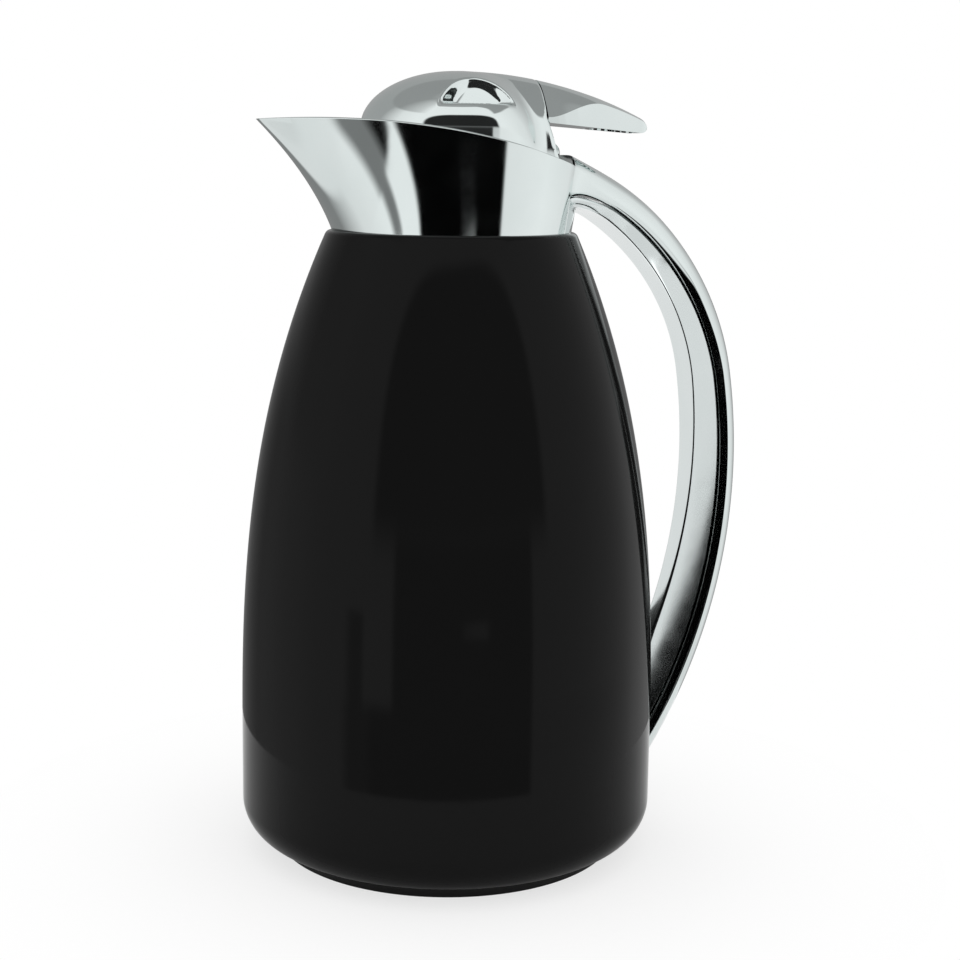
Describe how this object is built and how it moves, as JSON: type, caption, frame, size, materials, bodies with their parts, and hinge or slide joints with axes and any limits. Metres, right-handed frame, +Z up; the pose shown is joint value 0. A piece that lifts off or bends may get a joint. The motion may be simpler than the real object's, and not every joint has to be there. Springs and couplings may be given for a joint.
{
  "type": "thermal jug",
  "caption": "Thermal jug with a lacquered pear-shaped jacket, a chromed collar with pouring spout and bow handle, and a domed lever lid hinged at the rear.",
  "frame": {"origin": "centre of the foot ring's bottom face, on the jug's axis", "axes": "+Z up the jug's axis, +X towards the handle, -X towards the spout"},
  "size_m": [0.1714, 0.14, 0.2596],
  "materials": {
    "black_lacquer": "gloss",
    "chrome_plate": "mirror polished",
    "satin_chrome_plate": "polished",
    "black_plastic": "fine satin",
    "silvered_glass": "silvered",
    "bright_steel": "bright",
    "clear_silicone": "translucent",
    "grey_rubber": "matte",
    "white_foam": "open cell",
    "fibre_pad": "pressed felt"
  },
  "bodies": {
    "jug": {"body_casing": "black_lacquer", "base_ring": "black_plastic", "base_cap": "black_plastic", "flask_cushion": "grey_rubber", "outer_flask": "silvered_glass", "inner_flask": "silvered_glass", "flask_spacers": "fibre_pad", "neck_seal": "clear_silicone", "collar_nut": "black_plastic", "collar_handle_shell": "chrome_plate", "handle_insert": "satin_chrome_plate", "handle_screw": "bright_steel", "handle_washer": "bright_steel", "strip_screw": "bright_steel", "pour_seat": "black_plastic", "pour_funnel": "black_plastic", "funnel_screws": "bright_steel", "hinge_pin": "bright_steel"},
    "lid": {"lid_base": "black_plastic", "lid_seal": "clear_silicone", "lid_insulation": "white_foam", "lid_dome": "chrome_plate", "thumb_lever": "chrome_plate", "lever_screws": "bright_steel", "hinge_spring": "bright_steel"}
  },
  "joints": [
    {"name": "lid_hinge", "type": "hinge", "parent": "jug", "child": "lid", "pos_m": [0.0303, 0, 0.234], "axis": [0, 1, 0], "range_deg": [0, 31], "stiffness_Nm_per_rad": 0.05, "springref_deg": -17.19}
  ]
}
